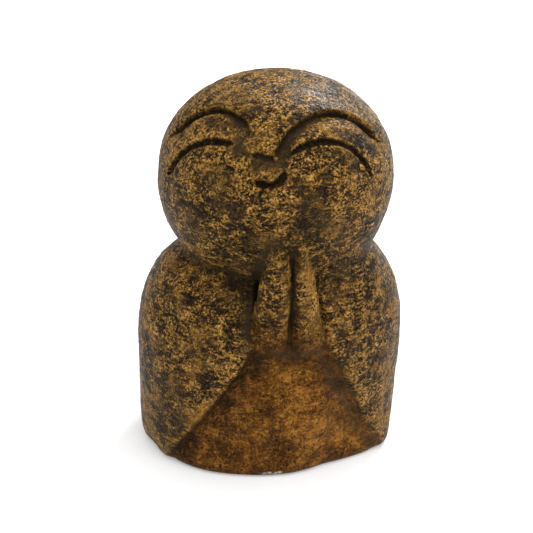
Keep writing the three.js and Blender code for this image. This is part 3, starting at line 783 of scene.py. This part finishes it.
def carving_masks(p):
    """Where the carving's floors, the thin painted shadows under its upper edges, the rims beside it
    and the skin below its ledges, painted with shade and patina, are."""
    floor, crease_shadow, rim, shade = (np.zeros(len(p)) for _ in range(4))
    chipped = CHIPPED_EDGE * LUMP.layers(p / CHIPPED_WAVE, 2)
    for name, close, outside, under, share, full in beside_carving(p):
        outside = outside + chipped[close]
        under = under + chipped[close]
        deep = ease(*FLOOR_START, outside) * full
        if name in LEDGES:
            deep *= ease(*LEDGE_FLOOR_END, under)
            long, dark = 1.0, SHADE_UNDER_NOSE
            if name in NOSE_SIDES:
                long = dark = ease(*NOSE_SIDES[name], share)
            reach = SHADE_REACH + SHADE_REACH_MORE * long
            below = ease(*SHADE_START, outside) * ease(reach, SHADE_FULL_SHARE * reach, under)
            below *= np.sqrt(full) * (SHADE_LEAST + (1 - SHADE_LEAST) * dark)
            shade[close] = np.maximum(shade[close], below)
        floor[close] = np.maximum(floor[close], deep)
        line = strip(under, *CREASE_SHADOW_STRIP) * ease(*CREASE_SHADOW_INSIDE, outside) * full
        crease_shadow[close] = np.maximum(crease_shadow[close], line)
        rim[close] = np.maximum(rim[close], strip(outside, *RIM_STRIP) * full)
    return floor, crease_shadow, rim * (1 - floor), shade


# Relief of the cast skin, in millimetres: how far it rises and how long its waves are
BEND = 1.1
BEND_WAVE = 3.1
BEND_APART = 7.7
BROAD_RISE = 0.36
BROAD_WAVE = 16
LUMP_RISE = 0.17
LUMP_WAVE = 4.8
RIDGE_RISE = 0.24
RIDGE_WAVE = 3.6
RIDGE_SHARPNESS = 1.9
RIDGE_LOW = -0.4
STREAK_RISE = 0.34
STREAK_WAVES = (11, 2.4, 12)
PATCH_WAVE = 19
PATCH_FADE = (-0.5, 0.4)
KNOB_RISE = 0.75
KNOB_WAVES = (6.5, 9, 5.2)
KNOBS_ASIDE = 0.5
# How much of it each area has
RIDGES_LEAST = 0.45
RIDGES_LESS_ON_CROWN = 0.7
STREAKS_LEAST = 0.12
STREAKS_MORE_ON_CROWN = 0.68
LUMPS_LESS_ON_ROBE = 0.35
SKIN_LESS_ON_ROBE = 0.72
RELIEF_LESS_ON_FLOOR = 0.6
RAISED_FULL = 0.5

SMILE_LINE = carved_line([(-4.1, 4.6), (-7.9, 3.3), (-9.8, 0.7), (-10.6, -2.5), (-10.9, -5.8),
                          (-10.3, -10.6)])
SMILE_LOW = 0.6 * HEIGHT
SMILE_DEPTH = 0.55
SMILE_STRIP = (0, 0.7)
SMILE_RIM = 0.35
SMILE_RIM_STRIP = (1.5, 0.7)
SMILE_START = (0, 0.15)
SMILE_END = (1, 0.8)


def smile_relief(p):
    """The line beside the mouth, pressed in with a small rim."""
    height = np.zeros(len(p))
    u, v = face_place(p)
    close = np.nonzero(near(SMILE_LINE, u, v) & (p[:, 1] < 0) & (p[:, 2] > SMILE_LOW))[0]
    if len(close):
        gap, _, share = beside_line(SMILE_LINE, u[close], v[close])
        full = ease(*SMILE_START, share) * ease(*SMILE_END, share)
        pressed = SMILE_RIM * strip(gap, *SMILE_RIM_STRIP) - SMILE_DEPTH * strip(gap, *SMILE_STRIP)
        height[close] = pressed * full
    return height


def relief(p, area):
    """How far the cast skin stands up or lies down, in millimetres."""
    crown, robe = area["crown"], area["robe"]
    bent = p + BEND * np.stack([WARP.at(p / BEND_WAVE + k * BEND_APART) for k in range(3)], 1)
    lumps = BROAD_RISE * BROAD.layers(p / BROAD_WAVE, 2)
    lumps += LUMP_RISE * LUMP.layers(bent / LUMP_WAVE, 2)
    ridges = 1 - np.abs(RIDGE.layers(bent / RIDGE_WAVE, 2)) * RIDGE_SHARPNESS
    leather = RIDGE_RISE * np.clip(ridges, RIDGE_LOW, 1)
    patchy = ease(*PATCH_FADE, PATCH.layers(p / PATCH_WAVE, 2))
    leather *= (RIDGES_LEAST + (1 - RIDGES_LEAST) * patchy) * (1 - RIDGES_LESS_ON_CROWN * crown)
    turning = np.arctan2(p[:, 0] - HEAD_ASIDE, -(p[:, 1] + HEAD_FORWARD)) * HEAD_RADIUS
    brushed = np.stack([turning, p[:, 2], np.hypot(p[:, 0], p[:, 1])], 1) / np.array(STREAK_WAVES)
    streaks = STREAK_RISE * STREAK.layers(brushed, 2)
    streaks *= STREAKS_LEAST + STREAKS_MORE_ON_CROWN * crown
    knobs = KNOB_RISE * KNOB.at(p / np.array(KNOB_WAVES)) * area["hands"]
    knobs *= (p[:, 0] < KNOBS_ASIDE) * ease(*KNOBS_ABOVE, p[:, 2])
    height = lumps * (1 - LUMPS_LESS_ON_ROBE * robe)
    height = height + (leather + streaks) * (1 - SKIN_LESS_ON_ROBE * robe)
    height += knobs + smile_relief(p)
    return height * ease(*RELIEF_ABOVE, p[:, 2])


# Small white chips on the lower edge: degrees around the body, and height
CHIP_PLACES = [(-13.2, 2.4), (-10.4, 2.9), (-7.0, 2.2), (-4.4, 2.7)]
CHIP_SPREAD = (1.4, 1.1)
CHIP_FADE = (0.35, 0.75)


def chip_places(p):
    around, z = around_body(p), p[:, 2]
    chips = np.zeros(len(p))
    for place in CHIP_PLACES:
        chips = np.maximum(chips, hump(around, z, place, CHIP_SPREAD) * (p[:, 1] < 0))
    return ease(*CHIP_FADE, chips)


# The relief stays inside the box of the plain form, in millimetres
BOX_MARGIN = 0.02
BOX_SOFTNESS = 1.0


def inside_box(surface, middle):
    """The surface with the parts that pass the box of the plain form eased back into it."""
    for axis, limit in enumerate(np.array(cad_high) / METRES - BOX_MARGIN):
        middle_of_axis = middle[axis] if axis < 2 else 0.0
        centred = surface[:, axis] - middle_of_axis
        centred = smooth_min(centred, limit, BOX_SOFTNESS)
        if axis < 2:
            centred = smooth_max(centred, -limit, BOX_SOFTNESS)
        surface[:, axis] = centred + middle_of_axis
    return surface


def make_statue():
    points, faces = refine(*starting_sphere())
    middle = (points.min(0) + points.max(0)) / 2
    shift = np.array([-middle[0], -middle[1], 0.0])
    area = masks(points)
    floor, crease_shadow, rim, shade = carving_masks(points)
    # The painted shade with patina below the ledges joins the other painted shade
    area["painted_shade_and_patina"] = np.maximum(area["painted_shade_and_patina"], shade)
    height = relief(points, area) * (1 - RELIEF_LESS_ON_FLOOR * floor)
    normals = normals_of(points, faces)
    surface = inside_box(points + normals * height[:, None], middle)
    surface[:, 2] = np.where(points[:, 2] < UNDERSIDE, 0.0, np.maximum(surface[:, 2], 0.0))

    mesh = bpy.data.meshes.new("jizo_stone")
    mesh.from_pydata(((surface + shift) * METRES).tolist(), [], faces.tolist())
    mesh.update()
    mesh.shade_smooth()
    area.update({
        "raised": np.clip(height / RAISED_FULL, -1, 1),
        "up": normals[:, 2],
        "groove": floor,
        "crease_shadow": crease_shadow,
        "rim": rim,
        "chip": chip_places(points),
    })
    for name, value in area.items():
        layer = mesh.attributes.new(name, "FLOAT", "POINT")
        layer.data.foreach_set("value", value.astype(np.float32))
    statue = bpy.data.objects.new("jizo_stone", mesh)
    bpy.context.scene.collection.objects.link(statue)
    return statue, shift


class Nodes:
    """Short calls for the nodes of one material."""

    def __init__(self, name):
        self.material = bpy.data.materials.new(name)
        self.material.use_nodes = True
        self.tree = self.material.node_tree
        self.shader = self.tree.nodes["Principled BSDF"]
        self.place = self.node("ShaderNodeTexCoord").outputs["Object"]

    def node(self, kind, **settings):
        made = self.tree.nodes.new(kind)
        for name, value in settings.items():
            setattr(made, name, value)
        return made

    def put(self, socket, value):
        if isinstance(value, bpy.types.NodeSocket):
            self.tree.links.new(value, socket)
        else:
            socket.default_value = value

    def math(self, operation, first, second=0.0):
        made = self.node("ShaderNodeMath", operation=operation)
        self.put(made.inputs[0], first)
        self.put(made.inputs[1], second)
        return made.outputs[0]

    def attribute(self, name):
        return self.node("ShaderNodeAttribute", attribute_name=name).outputs["Fac"]

    def stretched(self, stretch):
        made = self.node("ShaderNodeMapping")
        self.put(made.inputs["Vector"], self.place)
        made.inputs["Scale"].default_value = stretch
        return made.outputs[0]

    def noise(self, wavelength, detail=4.0, roughness=0.55, distortion=0.0, vector=None):
        made = self.node("ShaderNodeTexNoise")
        self.put(made.inputs["Vector"], vector or self.place)
        made.inputs["Scale"].default_value = 1 / wavelength
        made.inputs["Detail"].default_value = detail
        made.inputs["Roughness"].default_value = roughness
        made.inputs["Distortion"].default_value = distortion
        return made.outputs["Fac"]

    def ridged(self, wavelength, detail, roughness, distortion, half_width, vector=None):
        """Thin winding lines, 1 on the line and 0 beside it."""
        noise = self.noise(wavelength, detail, roughness, distortion, vector)
        off_line = self.math("ABSOLUTE", self.math("SUBTRACT", noise, 0.5))
        return self.eased(off_line, 0.1 * half_width, half_width, 1.0, 0.0)

    def weighted(self, terms, total):
        """The sum of the values times their weights, added to a total."""
        for value, weight in terms:
            made = self.node("ShaderNodeMath", operation="MULTIPLY_ADD")
            self.put(made.inputs[0], value)
            self.put(made.inputs[1], weight)
            self.put(made.inputs[2], total)
            total = made.outputs[0]
        return total

    def times(self, first, second):
        return self.math("MULTIPLY", first, second)

    def eased(self, value, low, high, to_low=0.0, to_high=1.0):
        made = self.node("ShaderNodeMapRange", interpolation_type="SMOOTHSTEP")
        self.put(made.inputs["Value"], value)
        made.inputs["From Min"].default_value = low
        made.inputs["From Max"].default_value = high
        made.inputs["To Min"].default_value = to_low
        made.inputs["To Max"].default_value = to_high
        return made.outputs["Result"]

    def mix(self, share, first, second):
        made = self.node("ShaderNodeMix", data_type="RGBA")
        self.put(made.inputs["Factor"], share)
        self.put(made.inputs[6], first)
        self.put(made.inputs[7], second)
        return made.outputs[2]

    def ramp(self, value, stops):
        made = self.node("ShaderNodeValToRGB")
        self.put(made.inputs[0], value)
        elements = made.color_ramp.elements
        while len(elements) < len(stops):
            elements.new(0.5)
        for element, (position, colour) in zip(elements, stops):
            element.position = position
            element.color = colour
        return made.outputs[0]


def srgb(red, green, blue):
    """A colour given as 0 to 255 in sRGB, for a shader's socket."""
    shares = [c / 255 for c in (red, green, blue)]
    linear = [c / 12.92 if c < 0.04045 else ((c + 0.055) / 1.055) ** 2.4 for c in shares]
    return (*linear, 1.0)


MM = 0.001

# The patina from its dark lakes to the ochre crust, and the robe's worn red brown
LAKE_TO_OCHRE = [
    (0.32, srgb(28, 22, 13)),
    (0.44, srgb(52, 40, 25)),
    (0.51, srgb(78, 57, 28)),
    (0.58, srgb(116, 81, 28)),
    (0.68, srgb(150, 103, 32)),
    (0.80, srgb(184, 132, 50)),
]
WORN_RED_BROWN = [
    (0.30, srgb(32, 19, 9)),
    (0.46, srgb(84, 50, 15)),
    (0.56, srgb(122, 76, 24)),
    (0.70, srgb(176, 118, 44)),
]
PALE_CREST = srgb(204, 152, 74)
# Painted glints on the ochre
GLINT_SPECK = srgb(220, 178, 108)
DARK_CRACK = srgb(24, 18, 11)
DARK_PORE = srgb(14, 11, 7)
DARK_PIT = srgb(16, 10, 6)
# Painted shadow of the left sleeve on the robe
SLEEVE_EDGE_SHADOW = srgb(34, 21, 11)
# Painted shade, with patina in the hollows
SHADE_AND_PATINA = srgb(46, 37, 24)
CARVED_RIM = srgb(182, 136, 66)
CARVED_FLOOR = srgb(36, 28, 17)
# Painted shadow under the carving's upper edges
CARVED_CREASE_SHADOW = srgb(14, 11, 7)
WHITE_CHIP = srgb(225, 215, 200)

# The brush went around the figure: its marks are flatter than they are wide on the skin, and
# run down the robe
SKIN_STROKES = (0.75, 0.75, 1.5)
ROBE_STROKES = (1, 1, 0.3)

# Shares of the colours, and the cover at which they come in
BUMP_HEIGHT = 2.4 * MM
COVER_START = 0.168
CRUST_START = -0.61
WORN_START = -0.38
CRACKS_MOST = 0.85
PORES_MOST = 0.8
PITS_MOST = 0.85
ROBE_MOST = 0.88
SLEEVE_EDGE_SHADOW_MOST = 0.75
SHADE_AND_PATINA_MOST = 0.78
CREASE_SHADOW_MOST = 0.6
GLOSS = 0.07
GLOSS_TINT = (1.0, 0.82, 0.6, 1)

COLOURED_AREAS = [
    "raised", "groove", "crease_shadow", "rim", "chip", "robe", "hem_band", "hands", "right_hand_painted_light", "neck",
    "glossy", "lids", "lap", "painted_shade_and_patina", "up", "edge", "lip", "nose", "smooth",
]


def grain(n, on):
    """The noises that the stone's colours and its bumps share, from broad to fine, with the
    crests, cracks, painted glints and pores where the skin is rough."""
    strokes = n.stretched(SKIN_STROKES)
    g = {
        "broad": n.noise(30 * MM, 2, 0.5),
        "patches": n.noise(9 * MM, 4, 0.6, 0.4),
        "tone": n.noise(4.6 * MM, 3, 0.6, 1.0, strokes),
        "crumbs": n.noise(1.9 * MM, 2.5, 0.65, 0.9),
        "specks": n.noise(1.05 * MM, 1, 0.6),
    }
    rough = n.eased(n.noise(13 * MM, 2, 0.5), 0.38, 0.56, 0.55, 1.15)
    less = n.weighted([(on["painted_shade_and_patina"], -0.75), (on["lids"], -0.25), (on["smooth"], -0.45)], 1.0)
    rough = n.times(rough, less)
    long_crests = n.ridged(5.5 * MM, 3, 0.6, 1.6, 0.075, strokes)
    long_crests = n.times(long_crests, n.eased(g["tone"], 0.43, 0.52))
    short_crests = n.ridged(2.7 * MM, 2, 0.55, 1.2, 0.1)
    short_crests = n.times(short_crests, n.eased(g["patches"], 0.44, 0.56, 0.1, 0.8))
    long_cracks = n.ridged(4.1 * MM, 3, 0.6, 1.4, 0.065, strokes)
    long_cracks = n.times(long_cracks, n.eased(g["crumbs"], 0.54, 0.44))
    short_cracks = n.ridged(2.1 * MM, 2, 0.55, 1.0, 0.07)
    short_cracks = n.times(short_cracks, n.eased(g["specks"], 0.54, 0.46, 0.0, 0.8))
    g["crests"] = n.times(n.math("MAXIMUM", long_crests, short_crests), rough)
    g["cracks"] = n.times(n.math("MAXIMUM", long_cracks, short_cracks), rough)
    # Pale specks painted as glints
    g["pale specks"] = n.times(n.eased(g["specks"], 0.6, 0.67), rough)
    g["pores"] = n.times(n.eased(g["specks"], 0.4, 0.34), rough)
    crust = n.weighted([(g["crumbs"], 0.36), (g["tone"], 0.6), (g["specks"], 0.26)], CRUST_START)
    g["crust"] = n.times(crust, rough)
    return g


def patina_colour(n, on, g):
    """Ochre on what stands up, more of it on the upper sides. Dark brown lakes lie between,
    and thin pale crests and dark cracks run over both."""
    place = n.weighted([
        (g["broad"], 0.22), (g["patches"], 0.4), (on["raised"], 0.05), (on["rim"], 0.04),
        # Less ochre at the neck crease and in the hollows: painted shade, with patina
        (on["lids"], 0.02), (on["up"], 0.03), (on["neck"], -0.06), (on["painted_shade_and_patina"], -0.05),
        # More ochre on the right hand and a little less on both hands: painted light on the right
        # hand, painted shade on the left
        (on["groove"], -0.1), (on["hands"], -0.02), (on["lip"], 0.07), (on["right_hand_painted_light"], 0.13),
        (on["nose"], 0.12),
    ], COVER_START)
    cover = n.math("ADD", g["crust"], place)
    colour = n.ramp(cover, LAKE_TO_OCHRE)
    crest_share = n.times(g["crests"], n.eased(cover, 0.42, 0.56, 0.25, 0.85))
    colour = n.mix(crest_share, colour, PALE_CREST)
    colour = n.mix(n.times(g["cracks"], CRACKS_MOST), colour, DARK_CRACK)
    # Painted glints on the ochre
    glint_share = n.times(g["pale specks"], n.eased(cover, 0.48, 0.62, 0.0, 0.6))
    colour = n.mix(glint_share, colour, GLINT_SPECK)
    return n.mix(n.times(g["pores"], PORES_MOST), colour, DARK_PORE)


def robe_colour(n, on, g):
    """Red brown, smoother than the patina, paler on the lap as a painted highlight and darker beside
    the hem.
    """
    brushed = n.noise(2.6 * MM, 3, 0.6, 0.3, n.stretched(ROBE_STROKES))
    tone = n.weighted([
        (g["crumbs"], 0.32), (g["tone"], 0.3), (g["patches"], 0.5), (g["broad"], 0.25),
        (on["lap"], 0.09), (on["hem_band"], -0.09), (g["specks"], 0.22), (brushed, 0.2),
    ], WORN_START)
    return n.ramp(tone, WORN_RED_BROWN)


def carved_colour(n, on, g, colour):
    """The colour with the painted shadow along the cloak's edge, painted shade with patina in
    sheltered places, the carving with its painted crease shadows, and chips over it.
    """
    pits = n.times(n.eased(n.noise(1.7 * MM, 1, 0.6), 0.35, 0.31), on["robe"])
    rim_share = n.times(on["rim"], n.eased(g["crumbs"], 0.42, 0.6, 0.0, 0.6))
    floor_share = n.times(on["groove"], n.eased(g["crumbs"], 0.35, 0.65, 0.92, 0.7))
    for share, over in (
        (n.times(pits, PITS_MOST), DARK_PIT),
        (n.times(on["edge"], SLEEVE_EDGE_SHADOW_MOST), SLEEVE_EDGE_SHADOW),
        (n.times(on["painted_shade_and_patina"], SHADE_AND_PATINA_MOST), SHADE_AND_PATINA),
        (rim_share, CARVED_RIM),
        (floor_share, CARVED_FLOOR),
        (n.times(on["crease_shadow"], CREASE_SHADOW_MOST), CARVED_CREASE_SHADOW),
        (on["chip"], WHITE_CHIP),
    ):
        colour = n.mix(share, colour, over)
    return colour


def patinated_stone():
    n = Nodes("patinated_stone")
    on = {name: n.attribute(name) for name in COLOURED_AREAS}
    g = grain(n, on)
    robe_share = n.times(on["robe"], ROBE_MOST)
    colour = n.mix(robe_share, patina_colour(n, on, g), robe_colour(n, on, g))
    n.put(n.shader.inputs["Base Color"], carved_colour(n, on, g, colour))

    roughness = n.weighted([(on["glossy"], -0.16)], n.eased(g["crumbs"], 0.3, 0.7, 0.34, 0.5))
    n.put(n.shader.inputs["Roughness"], roughness)
    n.put(n.shader.inputs["Specular IOR Level"], n.weighted([(on["glossy"], 0.2)], GLOSS))
    n.shader.inputs["Specular Tint"].default_value = GLOSS_TINT

    bump = n.node("ShaderNodeBump")
    bump.inputs["Strength"].default_value = 1.0
    bump.inputs["Distance"].default_value = BUMP_HEIGHT
    n.put(bump.inputs["Height"], n.weighted([
        (g["crust"], 1.1), (g["patches"], 0.7), (g["crests"], 0.16), (g["cracks"], -0.2),
        (g["pores"], -0.25),
    ], 0.0))
    n.put(n.shader.inputs["Normal"], bump.outputs[0])
    return n.material


FLOOR_HALF = 4.0
FLOOR_GREY = 0.75
FLOOR_GLOW = 0.25
FLOOR_ROUGHNESS = 0.9


def pale_floor():
    mesh = bpy.data.meshes.new("floor")
    corners = [(x * FLOOR_HALF, y * FLOOR_HALF, 0) for x, y in ((-1, -1), (1, -1), (1, 1), (-1, 1))]
    mesh.from_pydata(corners, [], [(0, 1, 2, 3)])
    floor = bpy.data.objects.new("floor", mesh)
    bpy.context.scene.collection.objects.link(floor)
    material = bpy.data.materials.new("pale_floor")
    material.use_nodes = True
    shader = material.node_tree.nodes["Principled BSDF"]
    shader.inputs["Base Color"].default_value = (FLOOR_GREY, FLOOR_GREY, FLOOR_GREY, 1)
    shader.inputs["Emission Color"].default_value = (1, 1, 1, 1)
    shader.inputs["Emission Strength"].default_value = FLOOR_GLOW
    shader.inputs["Roughness"].default_value = FLOOR_ROUGHNESS
    mesh.materials.append(material)


# The camera as fitted to the photo, which is 533 pixels wide, with a focal length of 1163
CAMERA_TARGET = (-1.66, 0.0, 95.8)
CAMERA_DISTANCE = 602.5
CAMERA_AZIMUTH = math.radians(-10)
CAMERA_ELEVATION = math.radians(25)
SENSOR_WIDTH = 36
CAMERA_LENS = SENSOR_WIDTH * 1163 / 533
CLIP_START = 0.01


def camera(shift):
    back = np.array([
        math.sin(CAMERA_AZIMUTH) * math.cos(CAMERA_ELEVATION),
        -math.cos(CAMERA_AZIMUTH) * math.cos(CAMERA_ELEVATION),
        math.sin(CAMERA_ELEVATION),
    ])
    data = bpy.data.cameras.new("camera")
    data.lens = CAMERA_LENS
    data.sensor_width = SENSOR_WIDTH
    data.clip_start = CLIP_START
    made = bpy.data.objects.new("camera", data)
    made.location = Vector((np.array(CAMERA_TARGET) + shift + back * CAMERA_DISTANCE) * METRES)
    made.rotation_euler = Vector(back).to_track_quat("Z", "Y").to_euler()
    bpy.context.scene.collection.objects.link(made)
    bpy.context.scene.camera = made


# A sky that is bright above and dark at the horizon, a soft lamp overhead and a window behind
SKY_LOW = 0.12
SKY_HIGH = 1.25
LAMP_POWER = 1.7
LAMP_ANGLE = math.radians(70)
LAMP_FROM = (0.3, -0.42, 1.0)
WINDOW_POWER = 8
WINDOW_SIZE = 0.3
WINDOW_PLACE = (0.5, 0.6, 0.6)
WINDOW_TARGET = (0.03, 0, 0.18)
WINDOW_COLOUR = (0.86, 0.93, 1.0)


def overhead_lamp():
    data = bpy.data.lights.new("overhead", "SUN")
    data.energy = LAMP_POWER
    data.angle = LAMP_ANGLE
    made = bpy.data.objects.new("overhead", data)
    made.rotation_euler = Vector(LAMP_FROM).to_track_quat("Z", "Y").to_euler()
    bpy.context.scene.collection.objects.link(made)


def window():
    data = bpy.data.lights.new("window", "AREA")
    data.size = WINDOW_SIZE
    data.energy = WINDOW_POWER
    data.color = WINDOW_COLOUR
    made = bpy.data.objects.new("window", data)
    made.location = WINDOW_PLACE
    direction = Vector(WINDOW_TARGET) - Vector(WINDOW_PLACE)
    made.rotation_euler = direction.to_track_quat("-Z", "Y").to_euler()
    bpy.context.scene.collection.objects.link(made)


def studio():
    world = bpy.data.worlds.new("studio")
    world.use_nodes = True
    tree = world.node_tree
    up = tree.nodes.new("ShaderNodeSeparateXYZ")
    tree.links.new(tree.nodes.new("ShaderNodeTexCoord").outputs["Generated"], up.inputs[0])
    sky = tree.nodes.new("ShaderNodeMapRange")
    sky.inputs["To Min"].default_value = SKY_LOW
    sky.inputs["To Max"].default_value = SKY_HIGH
    tree.links.new(up.outputs["Z"], sky.inputs["Value"])
    tree.links.new(sky.outputs["Result"], tree.nodes["Background"].inputs["Strength"])
    tree.nodes["Background"].inputs["Color"].default_value = (1, 1, 1, 1)
    bpy.context.scene.world = world
    bpy.context.scene.view_settings.view_transform = "Standard"
    overhead_lamp()
    window()


statue, shift = make_statue()
statue.data.materials.append(patinated_stone())
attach(statue, "root")
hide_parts("jizo_statue")
camera(shift)
pale_floor()
studio()
